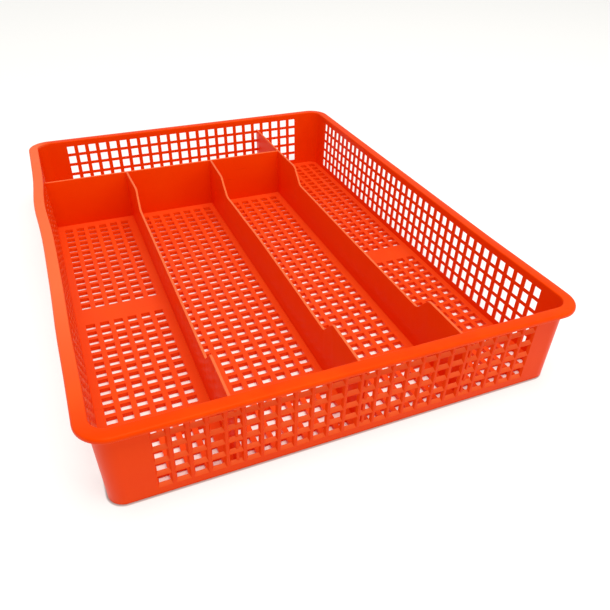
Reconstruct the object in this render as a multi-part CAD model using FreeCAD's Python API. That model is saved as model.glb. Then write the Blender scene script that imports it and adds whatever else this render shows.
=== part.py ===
import FreeCAD, Part
import math
import os

from FreeCAD import Vector

# Five-bay perforated cutlery tray, an open moulding with a flanged rim.
# Frame: +Z up, X across the tray, Y from front to back, origin on the resting
# plane under the middle of the tray. Millimetres throughout.
#
# Outward distances from a side are called n. n = 0 is the inside face of the
# wall at the very top; below it the wall leans inwards with the draft.

# overall sizes
inner_width = 274.0         # inside face to inside face at the rim, across X
inner_length = 373.5        # the same along Y
height = 56.0               # resting plane to top of rim
draft_angle = 2.0           # lean of every wall, degrees
wall_thickness = 1.6
inner_corner_radius = 9.5   # inside the vertical corners, at the rim

# rim
rim_reach = 7.6             # inside face to outer edge of the flange
rim_thickness = 1.8
lip_height = 3.0            # turned-down outer edge, measured from the top
lip_thickness = 1.6
rim_inner_round = 0.6
rim_outer_round = 1.0

# base
floor_thickness = 2.8
foot_height = 0.4           # the floor hangs this far clear of the table
foot_width = 2.4
foot_round = 0.7
base_strip = 4.3            # solid margin of the floor, in from the walls' inside faces

# square perforations of the walls: they widen outwards, and their sills slope down outwards
end_panel_min = 23.0        # least solid width left at each end of a wall
across_pitch = 9.5          # hole pitch along the front and back walls
along_pitch = 8.67          # hole pitch along the two side walls
row_pitch = 9.2             # hole pitch up the walls
top_row_depth = 8.3         # rim top down to the first row of holes
bottom_row_min = 10.5       # least height of a hole row over the table
upright_inner = 3.5         # width of the upright bars on the inside face
upright_outer = 1.9         # and on the outside face
crossbar_inner = 2.9        # height of the cross bars, inside face
crossbar_outer = 0.5        # and outside face; their undersides stay level

# perforations of the floor
floor_column_pitch = 9.45
floor_row_pitch = 8.62
floor_hole_width = 6.15
floor_hole_length = 5.8
floor_edge_min = 0.3        # least solid between a hole and the edge of its plate
divider_edge_min = 4.0      # least solid between a hole and a divider

# bays and dividers
left_bay = 67.8             # left wall to the middle of the left divider
second_bay = 73.8           # middle to middle of dividers
third_bay = 66.7
back_bay = 61.2             # back wall to the middle of the cross divider
band_from_front = 167.1     # front wall to the middle of the solid floor bands
divider_thickness = 1.7
divider_top = 45.2          # over the table
divider_low_top = 33.0      # top of the lowered middle run
front_shelf = 46.0          # full-height run at the front wall
front_riser = 11.2          # length of the step up to it
back_shelf = 40.5           # full-height run at the cross divider
back_slope = 14.5           # length of the slope down from it
shelf_round = 5.0           # rounding of the bends in a divider's top edge

# places worked out from the sizes above
half_width = inner_width / 2
half_length = inner_length / 2
floor_top = foot_height + floor_thickness
rim_underside = height - rim_thickness
left_x = -half_width + left_bay
middle_x = left_x + second_bay
right_x = middle_x + third_bay
cross_y = half_length - back_bay
band_y = -half_length + band_from_front
half_divider = divider_thickness / 2
wall_margin = base_strip + floor_edge_min
divider_margin = half_divider + divider_edge_min


def wall_inset(z):
    """Distance that the draft brings a wall inwards at height z."""
    return (height - z) * math.tan(math.radians(draft_angle))


def rounded_face(corners, place):
    """Planar face whose corners are (a, b) or (a, b, radius), as place(a, b)."""
    edges = []
    tangents = []
    count = len(corners)
    for i in range(count):
        here = Vector(corners[i][0], corners[i][1], 0)
        radius = corners[i][2] if len(corners[i]) == 3 else 0
        back = Vector(*corners[i - 1][:2], 0) - here
        ahead = Vector(*corners[(i + 1) % count][:2], 0) - here
        back.normalize()
        ahead.normalize()
        if radius == 0:
            tangents.append((here, here, None))
            continue
        half_turn = back.getAngle(ahead) / 2
        reach = radius / math.tan(half_turn)
        middle = (back + ahead).normalize()
        crown = here + middle * (radius / math.sin(half_turn) - radius)
        tangents.append((here + back * reach, here + ahead * reach, crown))
    for i in range(count):
        start, end, crown = tangents[i]
        if crown is not None:
            arc = Part.Arc(*[place(p.x, p.y) for p in (start, crown, end)])
            edges.append(arc.toShape())
        following = tangents[(i + 1) % count][0]
        edges.append(Part.LineSegment(place(end.x, end.y), place(following.x, following.y)).toShape())
    return Part.Face(Part.Wire(edges))


def rim_section():
    seat_inner = -wall_inset(rim_underside)
    return [
        (seat_inner, rim_underside),
        (0, height, rim_inner_round),
        (rim_reach, height, rim_outer_round),
        (rim_reach, height - lip_height),
        (rim_reach - lip_thickness, height - lip_height),
        (rim_reach - lip_thickness, rim_underside),
        (seat_inner + wall_thickness, rim_underside),
    ]


def wall_section():
    low = -wall_inset(floor_top)
    high = -wall_inset(rim_underside)
    return [
        (low, floor_top),
        (high, rim_underside),
        (high + wall_thickness, rim_underside),
        (low + wall_thickness, floor_top),
    ]


def base_section(inner_edge):
    outer = wall_thickness - wall_inset(floor_top)
    return [
        (inner_edge, floor_top),
        (outer, floor_top),
        (outer, 0, foot_round),
        (outer - foot_width, 0),
        (outer - foot_width, foot_height),
        (inner_edge, foot_height),
    ]


def straight_run(section, half_run, distance):
    """The section along a straight side that faces +Y, distance from the origin."""
    face = rounded_face(section, lambda n, z: Vector(-half_run, distance + n, z))
    return face.extrude(Vector(2 * half_run, 0, 0))


def corner_run(section):
    """The section swept round the corner in the +X +Y quarter."""
    face = rounded_face(section, lambda n, z: Vector(inner_corner_radius + n, 0, z))
    return face.revolve(Vector(0, 0, 0), Vector(0, 0, 1), 90)


def base_corner():
    quarter = corner_run(base_section(-inner_corner_radius))
    floor_part = inner_corner_radius - base_strip
    return quarter.cut(Part.makeBox(floor_part, floor_part, floor_thickness, Vector(0, 0, foot_height)))


def rectangle(place, a0, a1, b0, b1):
    return [place(a0, b0), place(a1, b0), place(a1, b1), place(a0, b1)]


def wire_of(points):
    return Part.makePolygon(points + points[:1])


def pierced_face(wires):
    """Flat face bounded by the first wire, with the others as holes."""
    return Part.makeFace(Part.Compound(wires), "Part::FaceMakerBullseye")


def ring_faces(inner_points, outer_points):
    """Four flat faces that join one rectangle to another."""
    faces = []
    for i in range(4):
        j = (i + 1) % 4
        faces.append(Part.Face(wire_of([inner_points[i], inner_points[j], outer_points[j], outer_points[i]])))
    return faces


def centred_places(length, margin, pitch, width):
    """Places at the pitch for things of a width, centred on 0 and inside the margins."""
    count = int((length - 2 * margin - width) / pitch + 1e-6) + 1
    return [(i - (count - 1) / 2) * pitch for i in range(count)]


def wall_panel(half_run, distance, pitch):
    """Flat wall that faces +Y, with its grille of holes."""
    def on_inside(a, z):
        return Vector(a, distance - wall_inset(z), z)

    def on_outside(a, z):
        return Vector(a, distance - wall_inset(z) + wall_thickness, z)

    wall_length = 2 * (half_run + inner_corner_radius)
    columns = centred_places(wall_length, end_panel_min, pitch, pitch - upright_inner)
    top_row = height - top_row_depth
    row_count = int((top_row - bottom_row_min) / row_pitch + 1e-6) + 1
    rows = [top_row - i * row_pitch for i in range(row_count)]
    outline_inside = rectangle(on_inside, -half_run, half_run, floor_top, rim_underside)
    outline_outside = rectangle(on_outside, -half_run, half_run, floor_top, rim_underside)
    faces = ring_faces(outline_inside, outline_outside)
    inside_wires = [wire_of(outline_inside)]
    outside_wires = [wire_of(outline_outside)]
    inner_half = (pitch - upright_inner) / 2
    outer_half = (pitch - upright_outer) / 2
    for a in columns:
        for z in rows:
            lintel = z + (row_pitch - crossbar_inner) / 2
            sill_inner = lintel - (row_pitch - crossbar_inner)
            sill_outer = lintel - (row_pitch - crossbar_outer)
            mouth = rectangle(on_inside, a - inner_half, a + inner_half, sill_inner, lintel)
            flare = rectangle(on_outside, a - outer_half, a + outer_half, sill_outer, lintel)
            inside_wires.append(wire_of(mouth))
            outside_wires.append(wire_of(flare))
            faces += ring_faces(mouth, flare)
    faces.append(pierced_face(inside_wires))
    faces.append(pierced_face(outside_wires))
    shell = Part.makeShell(faces)
    shell.sewShape()
    panel = Part.Solid(shell)
    if panel.Volume < 0:
        panel.reverse()
    return panel


def floor_rows(low, high):
    """Rows of the one floor lattice that lie wholly between low and high."""
    reach = int(inner_length / floor_row_pitch) + 1
    lattice = [band_y + (i + 0.5) * floor_row_pitch for i in range(-reach, reach)]
    half_hole = floor_hole_length / 2
    return [y for y in lattice if low + half_hole <= y <= high - half_hole]


def floor_columns(x_low, x_high):
    """Columns of one bay, centred in it, clear of the base edge and of the dividers."""
    beside_wall = x_low == -half_width or x_high == half_width
    margin = wall_margin if beside_wall else divider_margin
    middle = (x_low + x_high) / 2
    places = centred_places(x_high - x_low, margin, floor_column_pitch, floor_hole_width)
    return [middle + a for a in places]


def floor_grille(x_low, x_high, y_low, y_high, edge_left, edge_right, rows):
    """Floor plate of one bay. The edges are where the plate itself ends in X."""
    def flat(x, y):
        return Vector(x, y, foot_height)

    wires = [wire_of(rectangle(flat, edge_left, edge_right, y_low, y_high))]
    half_hole = (floor_hole_width / 2, floor_hole_length / 2)
    for x in floor_columns(x_low, x_high):
        for y in rows:
            wires.append(wire_of(rectangle(flat, x - half_hole[0], x + half_hole[0],
                                           y - half_hole[1], y + half_hole[1])))
    return pierced_face(wires).extrude(Vector(0, 0, floor_thickness))


def lengthwise_divider(x, back_end):
    """Divider from the front wall to back_end, with its lowered middle run."""
    def front_end(z):
        return -half_length + wall_inset(z)

    shelf_end = -half_length + front_shelf
    slope_end = cross_y - back_shelf
    outline = [
        (front_end(floor_top), floor_top),
        (front_end(divider_top), divider_top),
        (shelf_end, divider_top, shelf_round),
        (shelf_end + front_riser, divider_low_top, shelf_round),
        (slope_end - back_slope, divider_low_top, shelf_round),
        (slope_end, divider_top, shelf_round),
        (back_end, divider_top),
        (back_end, floor_top),
    ]
    face = rounded_face(outline, lambda y, z: Vector(x - half_divider, y, z))
    return face.extrude(Vector(divider_thickness, 0, 0))


def cross_divider():
    def left_end(z):
        return -half_width + wall_inset(z)

    right_end = right_x - half_divider
    outline = [
        (left_end(floor_top), floor_top),
        (left_end(divider_top), divider_top),
        (right_end, divider_top),
        (right_end, floor_top),
    ]
    face = rounded_face(outline, lambda x, z: Vector(x, cross_y - half_divider, z))
    return face.extrude(Vector(0, divider_thickness, 0))


def back_divider():
    def back_end(z):
        return half_length - wall_inset(z)

    outline = [
        (cross_y + half_divider, floor_top),
        (cross_y + half_divider, divider_top),
        (back_end(divider_top), divider_top),
        (back_end(floor_top), floor_top),
    ]
    face = rounded_face(outline, lambda y, z: Vector(right_x - half_divider, y, z))
    return face.extrude(Vector(divider_thickness, 0, 0))


def turned(shape, angle):
    shape.rotate(Vector(0, 0, 0), Vector(0, 0, 1), angle)
    return shape


def side_parts():
    """Rim, wall and base edge of the four straight sides."""
    sides = {
        "back": (0, half_width, half_length, across_pitch),
        "left": (90, half_length, half_width, along_pitch),
        "front": (180, half_width, half_length, across_pitch),
        "right": (-90, half_length, half_width, along_pitch),
    }
    parts = {}
    for side, (angle, half_span, distance, pitch) in sides.items():
        half_run = half_span - inner_corner_radius
        parts["rim_" + side] = turned(straight_run(rim_section(), half_run, distance), angle)
        parts["wall_" + side] = turned(wall_panel(half_run, distance, pitch), angle)
        base_edge = straight_run(base_section(-base_strip), half_run, distance)
        parts["base_edge_" + side] = turned(base_edge, angle)
    return parts


def corner_parts():
    """Rim, wall and base edge of the four rounded corners."""
    corners = {
        "back_right": (0, 1, 1),
        "back_left": (90, -1, 1),
        "front_left": (180, -1, -1),
        "front_right": (-90, 1, -1),
    }
    parts = {}
    for corner, (angle, x_sign, y_sign) in corners.items():
        centre = Vector(x_sign * (half_width - inner_corner_radius),
                        y_sign * (half_length - inner_corner_radius), 0)
        pieces = {
            "rim_corner_": corner_run(rim_section()),
            "wall_corner_": corner_run(wall_section()),
            "base_corner_": base_corner(),
        }
        for name, shape in pieces.items():
            turned(shape, angle).translate(centre)
            parts[name + corner] = shape
    return parts


def floor_parts():
    """Floor plates of the five bays, and the two solid bands across the outer bays."""
    floor_left = -half_width + base_strip
    floor_right = half_width - base_strip
    floor_front = -half_length + base_strip
    floor_back = half_length - base_strip
    band_half = 1.5 * floor_row_pitch - floor_hole_length / 2 - floor_edge_min
    band_front = band_y - band_half
    band_back = band_y + band_half
    first_row_edge = -half_length + wall_margin
    last_row_edge = half_length - wall_margin
    long_rows = floor_rows(first_row_edge, cross_y - divider_margin)
    front_rows = [y for y in long_rows if y < band_front]
    middle_rows = [y for y in long_rows if y > band_back]
    right_back_rows = floor_rows(band_back, last_row_edge)
    left = (-half_width, left_x)
    right = (right_x, half_width)
    plates = {
        "floor_left_bay_front": (*left, floor_front, band_front, floor_left, left_x, front_rows),
        "floor_left_bay_back": (*left, band_back, cross_y, floor_left, left_x, middle_rows),
        "floor_second_bay": (left_x, middle_x, floor_front, cross_y, left_x, middle_x, long_rows),
        "floor_third_bay": (middle_x, right_x, floor_front, cross_y, middle_x, right_x, long_rows),
        "floor_right_bay_front": (*right, floor_front, band_front, right_x, floor_right, front_rows),
        "floor_right_bay_back": (*right, band_back, floor_back, right_x, floor_right, right_back_rows),
        "floor_back_bay": (-half_width, right_x, cross_y, floor_back, floor_left, right_x,
                           floor_rows(cross_y + divider_margin, last_row_edge)),
    }
    parts = {name: floor_grille(*plate) for name, plate in plates.items()}
    for name, x_low, x_high in (("left", floor_left, left_x), ("right", right_x, floor_right)):
        parts["floor_band_" + name] = Part.makeBox(x_high - x_low, band_back - band_front, floor_thickness,
                                                   Vector(x_low, band_front, foot_height))
    return parts


def divider_parts():
    return {
        "divider_left": lengthwise_divider(left_x, cross_y - half_divider),
        "divider_middle": lengthwise_divider(middle_x, cross_y - half_divider),
        "divider_right": lengthwise_divider(right_x, cross_y + half_divider),
        "divider_cross": cross_divider(),
        "divider_back": back_divider(),
    }


os.makedirs("parts", exist_ok=True)
tray = {**side_parts(), **corner_parts(), **floor_parts(), **divider_parts()}
for name, shape in tray.items():
    print(name, "valid" if shape.isValid() else "NOT VALID", round(shape.Volume, 1))
    shape.exportStep("parts/" + name + ".step")
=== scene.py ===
import math
import bmesh
import bpy
from mathutils import Matrix, Vector


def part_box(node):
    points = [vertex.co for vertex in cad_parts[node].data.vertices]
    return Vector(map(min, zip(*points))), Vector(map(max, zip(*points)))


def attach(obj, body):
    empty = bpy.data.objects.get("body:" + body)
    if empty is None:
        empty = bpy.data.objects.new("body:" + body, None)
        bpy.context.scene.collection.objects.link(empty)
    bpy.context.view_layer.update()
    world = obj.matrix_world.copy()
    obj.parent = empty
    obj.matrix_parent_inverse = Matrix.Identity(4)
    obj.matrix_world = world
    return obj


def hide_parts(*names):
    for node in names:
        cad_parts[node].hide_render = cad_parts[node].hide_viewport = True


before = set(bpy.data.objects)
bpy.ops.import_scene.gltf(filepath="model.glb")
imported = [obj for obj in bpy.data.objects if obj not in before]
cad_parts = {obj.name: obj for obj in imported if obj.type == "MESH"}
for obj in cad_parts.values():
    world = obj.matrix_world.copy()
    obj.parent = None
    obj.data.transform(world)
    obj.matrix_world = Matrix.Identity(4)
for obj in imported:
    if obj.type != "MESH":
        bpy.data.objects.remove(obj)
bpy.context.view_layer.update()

mm = 0.001

# main faces and edges of the tray, read from the frame
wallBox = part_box("wall_front")
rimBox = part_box("rim_front")
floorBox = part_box("floor_left_bay_front")
rimTop = rimBox[1].z
rimSeat = wallBox[1].z                # underside of the flange, top of the walls
floorTop = floorBox[1].z
floorUnder = floorBox[0].z
cornerX = wallBox[1].x                # the straight sides end here and the corners begin
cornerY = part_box("wall_left")[1].y
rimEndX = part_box("rim_left")[0].x     # outer edges of the flange
rimEndY = rimBox[0].y

traySet = {
    "draft": math.radians(2.0),       # lean of the walls
    "wall": 1.6 * mm,
    "rimReach": 7.6 * mm,             # inside face to outer edge of the flange
}
insideX = -rimEndX - traySet["rimReach"]   # inside faces of the walls at the very top
insideY = -rimEndY - traySet["rimReach"]

meshSet = {
    "sameSpot": 0.02 * mm,            # closer than this counts as one place
    "mergeReach": 0.01 * mm,
    "cleanReach": 0.005 * mm,
    "faces": 0.9,                     # least share of a face's normal along the way that it faces
    "sideways": 0.1,                  # and the most on a face that stands square to it
    "firstInset": 0.5 * mm,
    "flatSmooth": 20,                 # degrees up to which neighbouring faces shade as one
    "roundSmooth": 30,
    "dividerSmooth": 40,
}


def note(text):
    print("tray:", text)


def deselectAll():
    if bpy.context.mode != "OBJECT":
        bpy.ops.object.mode_set(mode="OBJECT")
    bpy.ops.object.select_all(action="DESELECT")


def openPiece(piece):
    deselectAll()
    piece.select_set(True)
    bpy.context.view_layer.objects.active = piece
    bpy.ops.object.mode_set(mode="EDIT")


def pick(kind, test):
    # select what passes the test, in the piece that is open
    data = bpy.context.edit_object.data
    mesh = bmesh.from_edit_mesh(data)
    bpy.ops.mesh.select_mode(type=kind)
    bpy.ops.mesh.select_all(action="DESELECT")
    for element in {"VERT": mesh.verts, "EDGE": mesh.edges, "FACE": mesh.faces}[kind]:
        if test(element):
            element.select_set(True)
    bmesh.update_edit_mesh(data)


def near(a, b, reach=meshSet["sameSpot"]):
    return abs(a - b) < reach


def push(x=0.0, y=0.0, z=0.0):
    bpy.ops.mesh.extrude_region_move(TRANSFORM_OT_translate={"value": (x, y, z)})


def closePiece(piece, smoothAngle=meshSet["roundSmooth"]):
    # tidy the mesh, turn its faces outwards and leave the object at the origin
    openPiece(piece)
    bpy.ops.mesh.select_all(action="SELECT")
    bpy.ops.mesh.remove_doubles(threshold=meshSet["cleanReach"])
    bpy.ops.mesh.normals_make_consistent(inside=False)
    deselectAll()
    piece.select_set(True)
    bpy.context.view_layer.objects.active = piece
    bpy.ops.object.transform_apply(location=True, rotation=True, scale=True)
    bpy.ops.object.shade_smooth_by_angle(angle=math.radians(smoothAngle))
    return piece


def traceOutline(name, points):
    # one vertex pulled from point to point, then filled
    deselectAll()
    bpy.ops.mesh.primitive_plane_add(size=mm, location=points[0])
    piece = bpy.context.object
    piece.name = name
    bpy.ops.object.mode_set(mode="EDIT")
    bpy.ops.mesh.select_mode(type="VERT")
    bpy.ops.mesh.select_all(action="SELECT")
    bpy.ops.mesh.merge(type="CENTER")
    for here, there in zip(points, points[1:]):
        push(*(Vector(there) - Vector(here)))
    bpy.ops.mesh.select_all(action="SELECT")
    bpy.ops.mesh.edge_face_add()
    bpy.ops.object.mode_set(mode="OBJECT")
    bpy.ops.object.transform_apply(location=True, rotation=True, scale=True)
    return piece


def roundCorner(place, radius, segments):
    pick("VERT", lambda v: (v.co - Vector(place)).length < meshSet["sameSpot"])
    bpy.ops.mesh.bevel(offset=radius, segments=segments, affect="VERTICES")


def applyModifier(piece, kind, **values):
    deselectAll()
    piece.select_set(True)
    bpy.context.view_layer.objects.active = piece
    modifier = piece.modifiers.new(kind.lower(), kind)
    for name, value in values.items():
        setattr(modifier, name, value)
    bpy.ops.object.modifier_apply(modifier=modifier.name)


def repeatPiece(piece, count, step):
    # copies set out along step, welded where they meet
    applyModifier(piece, "ARRAY", count=count, use_relative_offset=False, use_constant_offset=True,
                  constant_offset_displace=step, use_merge_vertices=True,
                  merge_threshold=meshSet["mergeReach"])


def copyPiece(piece, name, turn=0.0, place=(0, 0, 0)):
    # a copy with its own mesh, turned about the tray's middle
    twin = piece.copy()
    twin.data = piece.data.copy()
    twin.name = name
    bpy.context.scene.collection.objects.link(twin)
    twin.data.transform(Matrix.Translation(place) @ Matrix.Rotation(turn, 4, "Z"))
    return twin


# rim, walls and base edge as sections: n runs outwards from the inside face at the top

def insetAt(z):
    return (rimTop - z) * math.tan(traySet["draft"])


def standingAt(x, y, ahead):
    # gives the places of a section that stands at (x, y), with n along the vector ahead
    def at(n, z):
        return (x + ahead[0] * n, y + ahead[1] * n, z)
    return at


rimSet = {
    "lipHeight": 3.0 * mm,
    "lip": 1.6 * mm,
    "innerRound": 0.7 * mm,
    "outerRound": 1.5 * mm,
    "crown": 0.25 * mm,               # fall of the top face towards its outer edge
    "crownFrom": 0.45,                # share of the flange that stays level
    "lipRound": 0.45 * mm,
    "roundSteps": 4,
    "outerSteps": 6,
    "alongStep": 8 * mm,
    "cornerSteps": 14,
}


def rimSheet(name, x, y, ahead):
    at = standingAt(x, y, ahead)
    seat = -insetAt(rimSeat)
    reach = traySet["rimReach"]
    lipUnder = rimTop - rimSet["lipHeight"]
    inLip = reach - rimSet["lip"]
    outline = [
        at(seat, rimSeat),
        at(0, rimTop),
        at(reach * rimSet["crownFrom"], rimTop),
        at(reach, rimTop - rimSet["crown"]),
        at(reach, lipUnder),
        at(inLip, lipUnder),
        at(inLip, rimSeat),
        at(seat + traySet["wall"], rimSeat),
    ]
    piece = traceOutline(name, outline)
    openPiece(piece)
    roundCorner(outline[1], rimSet["innerRound"], rimSet["roundSteps"])
    roundCorner(outline[3], rimSet["outerRound"], rimSet["outerSteps"])
    roundCorner(outline[4], rimSet["lipRound"], rimSet["roundSteps"])
    roundCorner(outline[5], rimSet["lipRound"], rimSet["roundSteps"])
    return piece


wallSet = {
    "cornerSteps": 14,
}


def wallSheet(name, x, y, ahead):
    at = standingAt(x, y, ahead)
    low, high = -insetAt(floorTop), -insetAt(rimSeat)
    thick = traySet["wall"]
    outline = [at(low, floorTop), at(high, rimSeat), at(high + thick, rimSeat), at(low + thick, floorTop)]
    piece = traceOutline(name, outline)
    openPiece(piece)
    return piece


baseSet = {
    "strip": 4.3 * mm,                # solid floor inside the walls
    "foot": 2.4 * mm,
    "footRound": 0.7 * mm,
    "roundSteps": 4,
    "alongStep": 40 * mm,
}


def baseSheet(name, x, y, ahead, innerEdge):
    at = standingAt(x, y, ahead)
    outer = traySet["wall"] - insetAt(floorTop)
    outline = [
        at(innerEdge, floorTop),
        at(outer, floorTop),
        at(outer, 0),
        at(outer - baseSet["foot"], 0),
        at(outer - baseSet["foot"], floorUnder),
        at(innerEdge, floorUnder),
    ]
    piece = traceOutline(name, outline)
    openPiece(piece)
    roundCorner(outline[2], baseSet["footRound"], baseSet["roundSteps"])
    return piece


def pullAlong(piece, length, step):
    # the open section pulled along +X in even steps
    count = max(1, round(length / step))
    bpy.ops.mesh.select_all(action="SELECT")
    for i in range(count):
        push(x=length / count)


def spinCorner(piece, steps):
    # the open section, which faces +X, spun a quarter turn about the corner's axis
    bpy.ops.mesh.select_all(action="SELECT")
    bpy.ops.mesh.spin(steps=steps, angle=-math.pi / 2, center=(cornerX, cornerY, 0), axis=(0, 0, 1))
    return piece


quarter = math.pi / 2
pieces = {}


def addSides(kind, front, left):
    # back and right sides are the front and left ones turned half round
    pieces["front" + kind] = (front, "front")
    pieces["left" + kind] = (left, "left")
    pieces["back" + kind] = (copyPiece(front, "back" + kind, math.pi), "back")
    pieces["right" + kind] = (copyPiece(left, "right" + kind, math.pi), "right")


def makeRim():
    runs = {}
    for side, end, distance in (("front", cornerX, insideY), ("left", cornerY, insideX)):
        # made along the front, then the side pair is turned into place
        piece = rimSheet(side + "Rim", -end, -distance, (0, -1))
        pullAlong(piece, 2 * end, rimSet["alongStep"])
        runs[side] = closePiece(piece)
    runs["left"].data.transform(Matrix.Rotation(-quarter, 4, "Z"))
    addSides("Rim", runs["front"], runs["left"])
    corner = spinCorner(rimSheet("backRightRimCorner", insideX, cornerY, (1, 0)), rimSet["cornerSteps"])
    addCorners("RimCorner", closePiece(corner))


def addCorners(kind, corner):
    # the back right corner's shape, turned and carried to the other three
    cornerSpots = {
        "backRight": (0, (0, 0, 0)),
        "backLeft": (quarter, (-cornerX + cornerY, cornerY - cornerX, 0)),
        "frontLeft": (2 * quarter, (0, 0, 0)),
        "frontRight": (-quarter, (cornerX - cornerY, -cornerY + cornerX, 0)),
    }
    for spot, (turn, shift) in cornerSpots.items():
        name = spot + kind
        pieces[name] = (corner, spot) if spot == "backRight" else (copyPiece(corner, name, turn, shift), spot)


makeRim()
note("rim made")


grilleSet = {
    "acrossPitch": 9.5 * mm,
    "alongPitch": 8.67 * mm,
    "rowPitch": 9.2 * mm,
    "topRow": 8.3 * mm,               # rim top down to the first row of holes
    "endPanel": 23.0 * mm,
    "lowestRow": 10.5 * mm,
    "uprightInner": 3.5 * mm,
    "uprightOuter": 1.6 * mm,
    "crossbarInner": 2.9 * mm,
    "crossbarOuter": 0.5 * mm,        # the sills slope down outwards, the undersides stay level
    "mouthRound": 0.15 * mm,
    "cellEdge": 0.1 * mm,             # the outermost part of a cell, where it meets the next
}
sillDrop = grilleSet["crossbarInner"] - grilleSet["crossbarOuter"]


def grilleCell(name, pitch):
    # one hole with half a bar on each side: inside face at +Y, outside face at -Y
    row = grilleSet["rowPitch"]
    thick = traySet["wall"]
    deselectAll()
    bpy.ops.mesh.primitive_cube_add(size=1, scale=(pitch, thick, row))
    cell = bpy.context.object
    cell.name = name
    bpy.ops.object.transform_apply(location=True, rotation=True, scale=True)
    openPiece(cell)
    start = meshSet["firstInset"]
    bars = {1: ("uprightInner", "crossbarInner"), -1: ("uprightOuter", "crossbarOuter")}
    for facing, (upright, crossbar) in bars.items():
        pick("FACE", lambda f: f.normal.y * facing > meshSet["faces"])
        bpy.ops.mesh.inset(thickness=start)
        wide = (pitch - grilleSet[upright]) / (pitch - 2 * start)
        tall = (row - grilleSet[crossbar]) / (row - 2 * start)
        bpy.ops.transform.resize(value=(wide, 1, tall), center_override=(0, facing * thick / 2, 0))
        if facing == 1:
            bpy.ops.transform.translate(value=(0, 0, sillDrop / 2))
    # the hole's two mouths, told by their size from the strips above and below them
    pick("FACE", lambda f: abs(f.normal.y) > meshSet["faces"] and near(f.calc_center_median().x, 0)
         and f.calc_area() > pitch * row / 3)
    bpy.ops.mesh.bridge_edge_loops()
    pick("FACE", lambda f: abs(f.normal.y) < meshSet["sideways"]
         and (near(abs(f.calc_center_median().x), pitch / 2)
              or near(abs(f.calc_center_median().z), row / 2)))
    bpy.ops.mesh.delete(type="FACE")
    # soften both mouths of the hole
    edgeX, edgeZ = pitch / 2 - grilleSet["cellEdge"], row / 2 - grilleSet["cellEdge"]
    pick("EDGE", lambda e: all(abs(v.co.x) < edgeX and abs(v.co.z) < edgeZ for v in e.verts)
         and near(e.verts[0].co.y, e.verts[1].co.y))
    bpy.ops.mesh.bevel(offset=grilleSet["mouthRound"], segments=1)
    bpy.ops.object.mode_set(mode="OBJECT")
    return cell


def wallGrille(name, end, halfSpan, distance, pitch):
    # a wall that faces -Y, with its grille between two plain end panels
    openSpan = 2 * halfSpan - 2 * grilleSet["endPanel"] - (pitch - grilleSet["uprightInner"])
    columns = int(openSpan / pitch) + 1
    row = grilleSet["rowPitch"]
    topRow = rimTop - grilleSet["topRow"]
    rows = int((topRow - grilleSet["lowestRow"]) / row) + 1
    topCell = topRow - sillDrop / 2
    piece = grilleCell(name, pitch)
    repeatPiece(piece, columns, (pitch, 0, 0))
    repeatPiece(piece, rows, (0, 0, -row))
    openPiece(piece)
    bpy.ops.mesh.select_all(action="SELECT")
    bpy.ops.transform.translate(value=(-(columns - 1) * pitch / 2, -traySet["wall"] / 2, topCell))
    # plain margins: ends, then the strips above and below
    gridEnd = columns * pitch / 2
    gridTop, gridLow = topCell + row / 2, topCell - (rows - 0.5) * row
    lean = math.cos(traySet["draft"])
    panelTop = rimTop - (rimTop - rimSeat) / lean
    panelLow = rimTop - (rimTop - floorTop) / lean
    for level, there in ((-gridEnd, -end), (gridEnd, end)):
        pick("EDGE", lambda e: e.is_boundary and all(near(v.co.x, level) for v in e.verts))
        push(x=there - level)
    for level, there in ((gridTop, panelTop), (gridLow, panelLow)):
        pick("EDGE", lambda e: e.is_boundary and all(near(v.co.z, level) for v in e.verts))
        push(z=there - level)
    pick("EDGE", lambda e: e.is_boundary)
    bpy.ops.mesh.bridge_edge_loops()
    bpy.ops.object.mode_set(mode="OBJECT")
    # lean the panel about its top inside edge and stand it in place
    lower, raised = Matrix.Translation((0, 0, -rimTop)), Matrix.Translation((0, -distance, rimTop))
    piece.data.transform(raised @ Matrix.Rotation(traySet["draft"], 4, "X") @ lower)
    return closePiece(piece, meshSet["flatSmooth"])


def makeWalls():
    front = wallGrille("frontWall", cornerX, insideX, insideY, grilleSet["acrossPitch"])
    left = wallGrille("leftWall", cornerY, insideY, insideX, grilleSet["alongPitch"])
    left.data.transform(Matrix.Rotation(-quarter, 4, "Z"))
    addSides("Wall", front, left)
    corner = spinCorner(wallSheet("backRightWallCorner", insideX, cornerY, (1, 0)), wallSet["cornerSteps"])
    addCorners("WallCorner", closePiece(corner))


makeWalls()
note("walls made")


def makeBase():
    runs = {}
    for side, end, distance in (("front", cornerX, insideY), ("left", cornerY, insideX)):
        piece = baseSheet(side + "BaseEdge", -end, -distance, (0, -1), -baseSet["strip"])
        pullAlong(piece, 2 * end, baseSet["alongStep"])
        runs[side] = closePiece(piece)
    runs["left"].data.transform(Matrix.Rotation(-quarter, 4, "Z"))
    addSides("BaseEdge", runs["front"], runs["left"])
    corner = baseSheet("backRightBaseCorner", insideX, cornerY, (1, 0), cornerX - insideX)
    closePiece(spinCorner(corner, wallSet["cornerSteps"]))
    # the floor plate's own corner takes a square bite out of it
    bite = insideX - baseSet["strip"] - cornerX
    deselectAll()
    bpy.ops.mesh.primitive_cube_add(size=2 * bite, location=(cornerX, cornerY, floorTop))
    cutter = bpy.context.object
    applyModifier(corner, "BOOLEAN", operation="DIFFERENCE", object=cutter, solver="EXACT")
    bpy.data.objects.remove(cutter)
    addCorners("BaseCorner", closePiece(corner))


makeBase()
note("base edge made")


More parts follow.
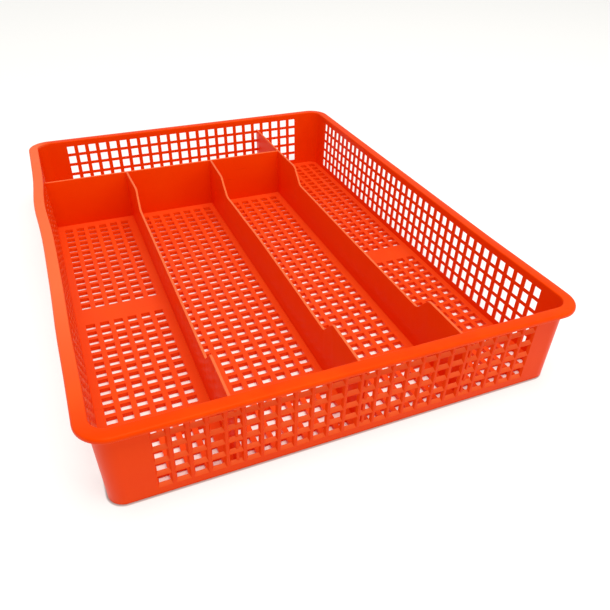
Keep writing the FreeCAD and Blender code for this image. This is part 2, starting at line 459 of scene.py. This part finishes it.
floorSet = {
    "pitchX": 9.45 * mm,
    "pitchY": 8.62 * mm,
    "holeX": 6.15 * mm,
    "holeY": 5.8 * mm,
    "barDrop": 0.15 * mm,             # the cross bars lie this far below the lengthwise ribs
    "plateEdge": 0.3 * mm,
    "dividerEdge": 4.0 * mm,
}
dividerHalf = (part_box("divider_left")[1].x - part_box("divider_left")[0].x) / 2
bandMiddle = (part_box("floor_band_left")[0].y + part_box("floor_band_left")[1].y) / 2


def reachOrTrim(axis, level, there, outward):
    # bring one side of the open grid to the plate's own edge
    way = Vector((outward if axis == 0 else 0, outward if axis == 1 else 0, 0))
    if (there - level) * outward > 0:
        pick("EDGE", lambda e: e.is_boundary and all(near(v.co[axis], level) for v in e.verts))
        push(*(way * abs(there - level)))
        return
    bpy.ops.mesh.select_all(action="SELECT")
    bpy.ops.mesh.bisect(plane_co=way * abs(there) * (1 if there * outward > 0 else -1), plane_no=way,
                        clear_outer=True)


def floorPlate(name, node, bayLow, bayHigh, rowLow, rowHigh):
    # a bay's floor: a flat grille of its own, with the lengthwise ribs raised
    low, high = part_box(node)
    pitchX, pitchY = floorSet["pitchX"], floorSet["pitchY"]
    holeX, holeY = floorSet["holeX"], floorSet["holeY"]
    besideWall = near(bayLow, -insideX) or near(bayHigh, insideX)
    margin = baseSet["strip"] + floorSet["plateEdge"] if besideWall else dividerHalf + floorSet["dividerEdge"]
    columns = int((bayHigh - bayLow - 2 * margin - holeX) / pitchX) + 1
    firstX = (bayLow + bayHigh - (columns - 1) * pitchX) / 2
    reach = int(2 * insideY / pitchY)
    lattice = [bandMiddle + (i + 0.5) * pitchY for i in range(-reach, reach)]
    rowsHere = [y for y in lattice if rowLow + holeY / 2 <= y <= rowHigh - holeY / 2]
    barTop = floorTop - floorSet["barDrop"]
    deep = barTop - floorUnder
    deselectAll()
    bpy.ops.mesh.primitive_cube_add(size=1, scale=(pitchX, pitchY, deep))
    piece = bpy.context.object
    piece.name = name
    bpy.ops.object.transform_apply(location=True, rotation=True, scale=True)
    openPiece(piece)
    start = meshSet["firstInset"]
    for facing in (1, -1):
        pick("FACE", lambda f: f.normal.z * facing > meshSet["faces"])
        bpy.ops.mesh.inset(thickness=start)
        bpy.ops.transform.resize(value=(holeX / (pitchX - 2 * start), holeY / (pitchY - 2 * start), 1),
                                 center_override=(0, 0, facing * deep / 2))
    pick("FACE", lambda f: abs(f.normal.z) > meshSet["faces"]
         and f.calc_center_median().xy.length < meshSet["sameSpot"])
    bpy.ops.mesh.bridge_edge_loops()
    pick("FACE", lambda f: abs(f.normal.z) < meshSet["sideways"]
         and (near(abs(f.calc_center_median().x), pitchX / 2)
              or near(abs(f.calc_center_median().y), pitchY / 2)))
    bpy.ops.mesh.delete(type="FACE")
    bpy.ops.object.mode_set(mode="OBJECT")
    repeatPiece(piece, columns, (pitchX, 0, 0))
    repeatPiece(piece, len(rowsHere), (0, pitchY, 0))
    openPiece(piece)
    bpy.ops.mesh.select_all(action="SELECT")
    bpy.ops.transform.translate(value=(firstX, rowsHere[0], floorUnder + deep / 2))
    gridX = (firstX - pitchX / 2, firstX + (columns - 0.5) * pitchX)
    gridY = (rowsHere[0] - pitchY / 2, rowsHere[-1] + pitchY / 2)
    for axis, grid in ((0, gridX), (1, gridY)):
        for level, there, outward in ((grid[0], low[axis], -1), (grid[1], high[axis], 1)):
            reachOrTrim(axis, level, there, outward)
    pick("EDGE", lambda e: e.is_boundary)
    bpy.ops.mesh.bridge_edge_loops()
    # cut the mitred corners of each cell square, so that the ribs run straight through
    for i in range(columns):
        for edge in (-holeX / 2, holeX / 2):
            bpy.ops.mesh.select_all(action="SELECT")
            bpy.ops.mesh.bisect(plane_co=(firstX + i * pitchX + edge, 0, 0), plane_no=(1, 0, 0))
    halfHole = holeX / 2
    barLow = max(gridY[0], low.y + meshSet["mergeReach"])
    barHigh = min(gridY[1], high.y - meshSet["mergeReach"])

    def isRib(f):
        middle = f.calc_center_median()
        column = (middle.x - firstX) / pitchX
        off = abs(column - round(column)) * pitchX
        inside = -0.5 < column < columns - 0.5 and barLow < middle.y < barHigh
        return f.normal.z > meshSet["faces"] and near(middle.z, barTop) and not (inside and off < halfHole)

    pick("FACE", isRib)
    push(z=floorSet["barDrop"])
    return closePiece(piece, meshSet["flatSmooth"])


# middles of the dividers
leftX = (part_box("divider_left")[0].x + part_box("divider_left")[1].x) / 2
middleX = (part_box("divider_middle")[0].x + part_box("divider_middle")[1].x) / 2
rightX = (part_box("divider_right")[0].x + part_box("divider_right")[1].x) / 2
crossY = (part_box("divider_cross")[0].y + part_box("divider_cross")[1].y) / 2


def makeFloors():
    wallGap = baseSet["strip"] + floorSet["plateEdge"]
    dividerGap = dividerHalf + floorSet["dividerEdge"]
    frontEdge, backEdge = -insideY + wallGap, insideY - wallGap
    crossFront, crossBack = crossY - dividerGap, crossY + dividerGap
    bandFront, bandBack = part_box("floor_band_left")[0].y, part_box("floor_band_left")[1].y
    plates = {
        "leftBayFloorFront": ("floor_left_bay_front", -insideX, leftX, frontEdge, bandFront),
        "leftBayFloorBack": ("floor_left_bay_back", -insideX, leftX, bandBack, crossFront),
        "secondBayFloor": ("floor_second_bay", leftX, middleX, frontEdge, crossFront),
        "thirdBayFloor": ("floor_third_bay", middleX, rightX, frontEdge, crossFront),
        "rightBayFloorFront": ("floor_right_bay_front", rightX, insideX, frontEdge, bandFront),
        "rightBayFloorBack": ("floor_right_bay_back", rightX, insideX, bandBack, backEdge),
        "backBayFloor": ("floor_back_bay", -insideX, rightX, crossBack, backEdge),
    }
    for name, (node, *spans) in plates.items():
        pieces[name] = (floorPlate(name, node, *spans), node)


makeFloors()
note("floors made")


dividerSet = {
    "low": 33.0 * mm,                 # top of the lowered middle run
    "frontShelf": 46.0 * mm,
    "frontRiser": 11.2 * mm,
    "backShelf": 40.5 * mm,
    "backSlope": 14.5 * mm,
    "bend": 5.0 * mm,                 # rounding of the bends in the top edge
    "bendTurn": math.radians(45),     # about what the edge turns at each of them
    "bendSteps": 5,
    "topRound": 0.7 * mm,
    "topSteps": 3,
    "sharpEdge": math.radians(60),    # only edges sharper than this are rounded
    "sliceStep": 9 * mm,
    "sink": 0.6 * mm,                 # how far the rounded edges run into walls and floor
}


def plateFrom(piece, slices, axis):
    # slice the outline into short lengths, give it thickness and round its edges
    low, high, step = slices
    count = int((high - low) / step)
    openPiece(piece)
    for i in range(1, count):
        place = low + (high - low) * i / count
        bpy.ops.mesh.select_all(action="SELECT")
        if axis == "Y":
            bpy.ops.mesh.bisect(plane_co=(0, place, 0), plane_no=(0, 1, 0))
        else:
            bpy.ops.mesh.bisect(plane_co=(place, 0, 0), plane_no=(1, 0, 0))
    bpy.ops.object.mode_set(mode="OBJECT")
    applyModifier(piece, "SOLIDIFY", thickness=2 * dividerHalf, offset=0)
    applyModifier(piece, "BEVEL", width=dividerSet["topRound"], segments=dividerSet["topSteps"],
                  limit_method="ANGLE", angle_limit=dividerSet["sharpEdge"])
    return closePiece(piece, meshSet["dividerSmooth"])


def lengthwiseDivider(name, node, x):
    low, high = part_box(node)
    sink = dividerSet["sink"]
    under = floorTop - sink
    shelfEnd = -insideY + dividerSet["frontShelf"]
    slopeEnd = crossY - dividerSet["backShelf"]
    top, dip = high.z, dividerSet["low"]
    back = high.y + (sink if near(high.y, crossY - dividerHalf) else 0)
    outline = [
        (x, -insideY + insetAt(floorTop) - sink, under),
        (x, -insideY + insetAt(top) - sink, top),
        (x, shelfEnd, top),
        (x, shelfEnd + dividerSet["frontRiser"], dip),
        (x, slopeEnd - dividerSet["backSlope"], dip),
        (x, slopeEnd, top),
        (x, back, top),
        (x, back, under),
    ]
    piece = traceOutline(name, outline)
    openPiece(piece)
    bendReach = dividerSet["bend"] * math.tan(dividerSet["bendTurn"] / 2)
    for place in outline[2:6]:
        roundCorner(place, bendReach, dividerSet["bendSteps"])
    bpy.ops.object.mode_set(mode="OBJECT")
    return plateFrom(piece, (outline[0][1], back, dividerSet["sliceStep"]), "Y")


def makeDividers():
    sink = dividerSet["sink"]
    under = floorTop - sink
    for name, x in (("left", leftX), ("middle", middleX), ("right", rightX)):
        node = "divider_" + name
        pieces[name + "Divider"] = (lengthwiseDivider(name + "Divider", node, x), node)
    low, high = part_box("divider_cross")
    cross = traceOutline("crossDivider", [
        (-insideX + insetAt(floorTop) - sink, crossY, under),
        (-insideX + insetAt(high.z) - sink, crossY, high.z),
        (high.x + sink, crossY, high.z),
        (high.x + sink, crossY, under),
    ])
    cross = plateFrom(cross, (low.x, high.x, dividerSet["sliceStep"]), "X")
    pieces["crossDivider"] = (cross, "divider_cross")
    low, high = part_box("divider_back")
    back = traceOutline("backDivider", [
        (rightX, low.y - sink, under),
        (rightX, low.y - sink, high.z),
        (rightX, insideY - insetAt(high.z) + sink, high.z),
        (rightX, insideY - insetAt(floorTop) + sink, under),
    ])
    back = plateFrom(back, (low.y, high.y, dividerSet["sliceStep"]), "Y")
    pieces["backDivider"] = (back, "divider_back")


makeDividers()
note("dividers made")


# the real tray is out of shape: the left side bulges, the dividers bow, a corner stands out

warpSet = {
    "bulges": [(62 * mm, 36 * mm, -2.3 * mm), (-105 * mm, 28 * mm, -0.45 * mm)],   # place, half length, size
    "bulgeFrom": -112 * mm,           # the bulge grows from nothing to its full size between these two
    "bulgeFull": -132 * mm,
    "bulgeRise": 1.5,                 # power of the height by which it grows upwards
    "bowRise": 1.2,
    "cornerShift": 1.3 * mm,          # the front right corner stands out to the right
    "cornerFromX": 50 * mm,
    "cornerFromY": -90 * mm,
    "grilleShift": 1.2 * mm,          # the front wall's grille is off centre
    "grilleFade": 12 * mm,
    # bows of the dividers: place along Y and shift in X, both in mm
    "middleBow": [(-187, 0.2), (-130, 1.2), (-60, 2.2), (-9, 2.4),
                  (40, 0.6), (77, -0.9), (100, 0.2), (125, 1.3)],
    "leftBow": [(-187, 0.0), (-60, 0.3), (71, -0.1), (86, 1.0), (125, -0.4)],
    "rightBow": [(-187, 0.0), (-40, -0.5), (71, 0.2), (84, 0.7), (125, 0.2), (187, 0.0)],
}
bowOf = {"middleDivider": "middleBow", "leftDivider": "leftBow", "rightDivider": "rightBow",
         "backDivider": "rightBow"}


def easedBetween(stops, place):
    # stops are (place, value) in mm, with a soft start and end to each stretch
    if place <= stops[0][0]:
        return stops[0][1]
    for (a, low), (b, high) in zip(stops, stops[1:]):
        if place <= b:
            return low + (high - low) * eased(place, a, b)
    return stops[-1][1]


def eased(place, start, full):
    # 0 before the start, 1 past the full place, with no kink at either
    share = min(max((place - start) / (full - start), 0), 1)
    return share * share * (3 - 2 * share)


def warp(name, piece):
    bow = warpSet.get(bowOf.get(name))
    fadeLength = warpSet["bulgeFrom"] - warpSet["bulgeFull"]
    for vertex in piece.data.vertices:
        spot = vertex.co
        rise = min(max((spot.z - floorTop) / (rimTop - floorTop), 0), 1)
        fade = min(max((warpSet["bulgeFrom"] - spot.x) / fadeLength, 0), 1)
        bulge = sum(size * math.exp(-((spot.y - place) / half) ** 2)
                    for place, half, size in warpSet["bulges"])
        shift = bulge * fade * rise ** warpSet["bulgeRise"]
        if bow:
            shift += easedBetween(bow, spot.y / mm) * mm * rise ** warpSet["bowRise"]
        shift += (warpSet["cornerShift"] * eased(spot.x, warpSet["cornerFromX"], cornerX)
                  * eased(-spot.y, -warpSet["cornerFromY"], cornerY))
        if name == "frontWall":
            shift += warpSet["grilleShift"] * min((cornerX - abs(spot.x)) / warpSet["grilleFade"], 1)
        vertex.co.x += shift


for name, (piece, where) in pieces.items():
    warp(name, piece)
note("sides and dividers bent")


# plastic

def socket(tree, name, direction, kind="NodeSocketFloat", value=None):
    made = tree.interface.new_socket(name=name, in_out=direction, socket_type=kind)
    if value is not None:
        made.default_value = value


def addNode(tree, kind, values=None, links=None):
    # inputs go by name or number, and any other name in values is a setting of the node
    made = tree.nodes.new(kind)
    for name, value in (values or {}).items():
        if isinstance(name, int) or name in made.inputs:
            made.inputs[name].default_value = value
        else:
            setattr(made, name, value)
    for name, source in (links or {}).items():
        tree.links.new(source, made.inputs[name])
    return made


def blend(tree, base, colour, share):
    # the base colour with a share of another over it
    mix = addNode(tree, "ShaderNodeMix", {"data_type": "RGBA", "B": (*colour, 1)},
                  {"A": base, "Factor": share})
    return mix.outputs["Result"]


def mouldedGrainGroup():
    # fine moulded texture and slow sinking of the surface, as heights in 0 to 1
    tree = bpy.data.node_groups.new("mouldedGrain", "ShaderNodeTree")
    socket(tree, "Place", "INPUT", "NodeSocketVector")
    socket(tree, "Grain Scale", "INPUT", value=1400.0)
    socket(tree, "Ripple Scale", "INPUT", value=60.0)
    socket(tree, "Ripple Share", "INPUT", value=0.7)
    socket(tree, "Height", "OUTPUT")
    socket(tree, "Flow", "OUTPUT")
    inside = tree.nodes.new("NodeGroupInput")
    outside = tree.nodes.new("NodeGroupOutput")
    grain = addNode(tree, "ShaderNodeTexNoise", {"Detail": 3.0, "Roughness": 0.6},
                    {"Vector": inside.outputs["Place"], "Scale": inside.outputs["Grain Scale"]})
    ripple = addNode(tree, "ShaderNodeTexNoise", {"Detail": 2.0, "Roughness": 0.45},
                     {"Vector": inside.outputs["Place"], "Scale": inside.outputs["Ripple Scale"]})
    mix = addNode(tree, "ShaderNodeMix", {"data_type": "FLOAT"},
                  {"Factor": inside.outputs["Ripple Share"],
                   "A": grain.outputs["Fac"], "B": ripple.outputs["Fac"]})
    tree.links.new(mix.outputs["Result"], outside.inputs["Height"])
    stretched = addNode(tree, "ShaderNodeMapping", {"Scale": (9.0, 3.0, 22.0)},
                        {"Vector": inside.outputs["Place"]})
    flow = addNode(tree, "ShaderNodeTexNoise",
                   {"Scale": 1.6, "Detail": 4.0, "Roughness": 0.5, "Distortion": 0.8},
                   {"Vector": stretched.outputs["Vector"]})
    tree.links.new(flow.outputs["Fac"], outside.inputs["Flow"])
    return tree


def scuffGroup():
    # sparse thin scratches and dull rubbed patches, both as masks
    tree = bpy.data.node_groups.new("scuffs", "ShaderNodeTree")
    socket(tree, "Place", "INPUT", "NodeSocketVector")
    socket(tree, "Amount", "INPUT", value=0.3)
    socket(tree, "Scratches", "OUTPUT")
    socket(tree, "Rubbed", "OUTPUT")
    inside = tree.nodes.new("NodeGroupInput")
    outside = tree.nodes.new("NodeGroupOutput")
    lines = []
    for turn, scale in ((0.5, 46.0), (2.1, 58.0)):
        turned = addNode(tree, "ShaderNodeMapping",
                         {"Rotation": (0.3, 0.2, turn), "Scale": (1.0, 30.0, 30.0)},
                         {"Vector": inside.outputs["Place"]})
        streak = addNode(tree, "ShaderNodeTexNoise", {"Scale": scale, "Detail": 1.0, "Roughness": 0.4},
                         {"Vector": turned.outputs["Vector"]})
        thin = addNode(tree, "ShaderNodeMapRange", {"From Min": 0.77, "From Max": 0.80},
                       {"Value": streak.outputs["Fac"]})
        lines.append(thin.outputs["Result"])
    both = addNode(tree, "ShaderNodeMath", {"operation": "MAXIMUM"}, {0: lines[0], 1: lines[1]})
    scratches = addNode(tree, "ShaderNodeMath", {"operation": "MULTIPLY"},
                        {0: both.outputs["Value"], 1: inside.outputs["Amount"]})
    tree.links.new(scratches.outputs["Value"], outside.inputs["Scratches"])
    patches = addNode(tree, "ShaderNodeTexNoise", {"Scale": 22.0, "Detail": 6.0, "Roughness": 0.65},
                      {"Vector": inside.outputs["Place"]})
    rubbed = addNode(tree, "ShaderNodeMapRange", {"From Min": 0.42, "From Max": 0.72},
                     {"Value": patches.outputs["Fac"]})
    tree.links.new(rubbed.outputs["Result"], outside.inputs["Rubbed"])
    return tree


mouldedGrain = mouldedGrainGroup()
scuffs = scuffGroup()


wearAndSheenSet = {
    "levelFrom": 0.35,                # upward share of a face's normal where the painted sheen begins
    "levelFull": 0.6,
    "leftFrom": -126 * mm,            # the left rim is painted paler, most towards the back: wear together with painted sheen
    "leftFull": -138 * mm,
    "backFrom": -190 * mm,
    "backFull": -60 * mm,
}


def plastic(name, look):
    made = bpy.data.materials.new(name)
    made.use_nodes = True
    tree = made.node_tree
    shader = tree.nodes["Principled BSDF"]
    shader.inputs["Specular IOR Level"].default_value = look["specular"]
    shader.inputs["Specular Tint"].default_value = (*look["sheenColour"], 1)
    shader.inputs["IOR"].default_value = look["ior"]
    # painted light: a red emission glow on the plastic, which is no lamp
    shader.inputs["Emission Color"].default_value = (*look["glowColour"], 1)
    shader.inputs["Emission Strength"].default_value = look["paintedGlow"]
    coordinates = addNode(tree, "ShaderNodeTexCoord")
    place = coordinates.outputs["Object"]
    grain = addNode(tree, "ShaderNodeGroup",
                    {"node_tree": mouldedGrain, "Grain Scale": look["grainScale"],
                     "Ripple Scale": look["rippleScale"]}, {"Place": place})
    wear = addNode(tree, "ShaderNodeGroup", {"node_tree": scuffs, "Amount": look["scratched"]},
                   {"Place": place})
    # slow flow marks, then pale rubbed patches
    flow = addNode(tree, "ShaderNodeMix",
                   {"data_type": "RGBA", "A": (*look["colour"], 1), "B": (*look["flowColour"], 1)},
                   {"Factor": grain.outputs["Flow"]})
    rubbed = addNode(tree, "ShaderNodeMath", {"operation": "MULTIPLY", 1: look["rubbed"]},
                     {0: wear.outputs["Rubbed"]})
    colour = blend(tree, flow.outputs["Result"], look["rubbedColour"], rubbed.outputs["Value"])
    # painted sheen: faces that look upwards are painted paler, where they catch the light from above
    facing = addNode(tree, "ShaderNodeSeparateXYZ", None, {"Vector": coordinates.outputs["Normal"]})
    upwardSheen = addNode(tree, "ShaderNodeMapRange",
                     {"From Min": wearAndSheenSet["levelFrom"], "From Max": wearAndSheenSet["levelFull"],
                      "To Max": look["paintedSheen"]},
                     {"Value": facing.outputs["Z"]})
    colour = blend(tree, colour, look["paintedSheenColour"], upwardSheen.outputs["Result"])
    # the left side is painted paler, most towards the back: wear together with painted sheen
    spread = addNode(tree, "ShaderNodeSeparateXYZ", None, {"Vector": place})
    leftward = addNode(tree, "ShaderNodeMapRange",
                       {"From Min": wearAndSheenSet["leftFrom"], "From Max": wearAndSheenSet["leftFull"]},
                       {"Value": spread.outputs["X"]})
    backward = addNode(tree, "ShaderNodeMapRange",
                       {"From Min": wearAndSheenSet["backFrom"], "From Max": wearAndSheenSet["backFull"],
                        "To Max": look["wornAndSheen"]},
                       {"Value": spread.outputs["Y"]})
    wornAndSheen = addNode(tree, "ShaderNodeMath", {"operation": "MULTIPLY"},
                   {0: leftward.outputs["Result"], 1: backward.outputs["Result"]})
    colour = blend(tree, colour, look["wornAndSheenColour"], wornAndSheen.outputs["Value"])
    # dark scratches over everything
    colour = blend(tree, colour, look["scratchColour"], wear.outputs["Scratches"])
    tree.links.new(colour, shader.inputs["Base Color"])
    dull = addNode(tree, "ShaderNodeMapRange",
                   {"To Min": look["roughness"], "To Max": look["roughness"] + look["dulling"]},
                   {"Value": wear.outputs["Rubbed"]})
    tree.links.new(dull.outputs["Result"], shader.inputs["Roughness"])
    bump = addNode(tree, "ShaderNodeBump", {"Strength": look["bump"], "Distance": look["bumpHeight"]},
                   {"Height": grain.outputs["Height"]})
    tree.links.new(bump.outputs["Normal"], shader.inputs["Normal"])
    return made


bodyLook = {
    "colour": (0.64, 0.047, 0.0003),
    "flowColour": (0.60, 0.040, 0.0003),
    "rubbedColour": (0.66, 0.066, 0.001),
    "scratchColour": (0.34, 0.016, 0.001),
    "glowColour": (1.0, 0.0, 0.0),    # painted light: the plastic glows red by emission, standing in for light that the thin plastic lets through
    "paintedGlow": 0.17,
    "ior": 1.49,
    "specular": 0.14,
    "sheenColour": (1.0, 0.55, 0.15),
    "roughness": 0.33,
    "dulling": 0.10,
    "rubbed": 0.35,
    "scratched": 0.35,
    "grainScale": 1500.0,
    "rippleScale": 45.0,
    "bump": 0.12,
    "bumpHeight": 0.2 * mm,
    # painted sheen: how much paler the upward faces are painted
    "paintedSheen": 0.85,
    "paintedSheenColour": (0.64, 0.150, 0.050),
    "wornAndSheen": 0.0,
    "wornAndSheenColour": (0.68, 0.140, 0.045),
}
rimLook = {**bodyLook, "rubbed": 0.7, "roughness": 0.36, "dulling": 0.14, "scratched": 0.2, "bump": 0.3,
           "paintedSheen": 0.0, "wornAndSheen": 0.9}
floorLook = {**bodyLook, "rubbed": 0.5, "roughness": 0.30, "scratched": 0.6, "paintedSheen": 0.15}

bodyPlastic = plastic("wallPlastic", bodyLook)
rimPlastic = plastic("rimPlastic", rimLook)
floorPlastic = plastic("floorPlastic", floorLook)


def finishFor(name):
    if "Rim" in name:
        return rimPlastic
    if "Floor" in name or "Base" in name:
        return floorPlastic
    return bodyPlastic


nodeEnds = {"front": "front", "back": "back", "left": "left", "right": "right", "backRight": "back_right",
            "backLeft": "back_left", "frontLeft": "front_left", "frontRight": "front_right"}
nodeStarts = {"RimCorner": "rim_corner_", "WallCorner": "wall_corner_", "BaseCorner": "base_corner_",
              "BaseEdge": "base_edge_", "Rim": "rim_", "Wall": "wall_"}
for name, (piece, where) in pieces.items():
    if where in nodeEnds:
        kind = name[len(where):]
        where = nodeStarts[kind] + nodeEnds[where]
    piece.data.materials.clear()
    piece.data.materials.append(finishFor(name))
    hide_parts(where)
    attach(piece, "root")
for node in ("floor_band_left", "floor_band_right"):
    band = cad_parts[node]
    band.data.materials.clear()
    band.data.materials.append(floorPlastic)
note("plastic on everything")


# table, lights and camera

studioSet = {
    "tableSize": 9.0,
    "tableColour": (0.42, 0.425, 0.42),
    # painted light: the table under the tray is given a paler colour, standing in for light that reaches it
    # through the floor holes
    "paintedLitUnderTrayColour": (0.85, 0.85, 0.84),
    "tableRoughness": 0.6,
    "tableSpecular": 0.1,
    "tableGlow": 0.60,                # glow standing in for light on the sheet from below; kept off under the tray and faded in past its outline as a painted contact shadow
    "paintedShadowFade": 1.0 * mm,
    "glowColour": (1.0, 1.0, 0.995),
    "worldColour": (1.0, 0.96, 0.90),
    "worldPower": 0.54,
    "lampColour": (1.0, 0.96, 0.89),
    "overheadPlace": (0.05, -0.35, 1.45),
    "overheadSize": 1.2,
    "overheadPower": 22.0,
    "sidePlace": (0.75, -1.25, 0.72),
    "sideSize": 0.45,
    "sidePower": 3.0,
}


def makeStudio():
    deselectAll()
    bpy.ops.mesh.primitive_plane_add(size=studioSet["tableSize"], location=(0, 0, 0))
    table = bpy.context.object
    table.name = "table"
    surface = bpy.data.materials.new("tableTop")
    surface.use_nodes = True
    shader = surface.node_tree.nodes["Principled BSDF"]
    tree = surface.node_tree
    # distance outside the tray's rounded outline
    away = addNode(tree, "ShaderNodeVectorMath", {"operation": "ABSOLUTE"},
                   {0: addNode(tree, "ShaderNodeTexCoord").outputs["Object"]})
    past = addNode(tree, "ShaderNodeVectorMath", {"operation": "SUBTRACT", 1: (cornerX, cornerY, 0)},
                   {0: away.outputs["Vector"]})
    beyond = addNode(tree, "ShaderNodeVectorMath", {"operation": "MAXIMUM"}, {0: past.outputs["Vector"]})
    reach = addNode(tree, "ShaderNodeVectorMath", {"operation": "LENGTH"}, {0: beyond.outputs["Vector"]})
    outside = addNode(tree, "ShaderNodeMath", {"operation": "SUBTRACT", 1: insideX - cornerX},
                      {0: reach.outputs["Value"]})
    # painted contact shadow: no glow under the tray, faded in just past its outline, so a dark line runs
    # along the foot
    lit = addNode(tree, "ShaderNodeMapRange",
                  {"From Min": 0.0, "From Max": studioSet["paintedShadowFade"], "To Max": studioSet["tableGlow"]},
                  {"Value": outside.outputs["Value"]})
    # painted light and shade: pale colour under the tray, turning to the darker table colour at the outline
    paintedUnderTrayMask = addNode(tree, "ShaderNodeMapRange", {"From Min": -studioSet["paintedShadowFade"], "From Max": 0.0},
                        {"Value": outside.outputs["Value"]})
    sheet = addNode(tree, "ShaderNodeMix",
                    {"data_type": "RGBA", "A": (*studioSet["paintedLitUnderTrayColour"], 1),
                     "B": (*studioSet["tableColour"], 1)}, {"Factor": paintedUnderTrayMask.outputs["Result"]})
    tree.links.new(sheet.outputs["Result"], shader.inputs["Base Color"])
    shader.inputs["Roughness"].default_value = studioSet["tableRoughness"]
    shader.inputs["Specular IOR Level"].default_value = studioSet["tableSpecular"]
    shader.inputs["Emission Color"].default_value = (*studioSet["glowColour"], 1)
    tree.links.new(lit.outputs["Result"], shader.inputs["Emission Strength"])
    table.data.materials.append(surface)
    for name in ("overhead", "side"):
        bpy.ops.object.light_add(type="AREA", location=studioSet[name + "Place"])
        lamp = bpy.context.object
        lamp.name = name + "Light"
        lamp.data.shape = "SQUARE"
        lamp.data.color = studioSet["lampColour"]
        lamp.data.size = studioSet[name + "Size"]
        lamp.data.energy = studioSet[name + "Power"]
        lamp.rotation_euler = Vector(studioSet[name + "Place"]).to_track_quat("Z", "Y").to_euler()
    world = bpy.data.worlds.new("tent")
    world.use_nodes = True
    background = world.node_tree.nodes["Background"]
    background.inputs["Color"].default_value = (*studioSet["worldColour"], 1)
    background.inputs["Strength"].default_value = studioSet["worldPower"]
    bpy.context.scene.world = world
    bpy.context.scene.view_settings.view_transform = "Standard"


cameraSet = {
    "place": (-0.1262, -0.4022, 0.2654),
    "aim": (0.0228, -0.0581, 0.0),
    "roll": math.radians(1.184),
    "lens": 36.67,
    "sensor": 36.0,
}


def makeCamera():
    bpy.ops.object.camera_add(location=cameraSet["place"])
    camera = bpy.context.object
    look = Vector(cameraSet["aim"]) - Vector(cameraSet["place"])
    turn = look.to_track_quat("-Z", "Y").to_matrix() @ Matrix.Rotation(cameraSet["roll"], 3, "Z")
    camera.rotation_euler = turn.to_euler()
    camera.data.lens = cameraSet["lens"]
    camera.data.sensor_width = cameraSet["sensor"]
    bpy.context.scene.camera = camera


makeStudio()
makeCamera()
note("studio ready")
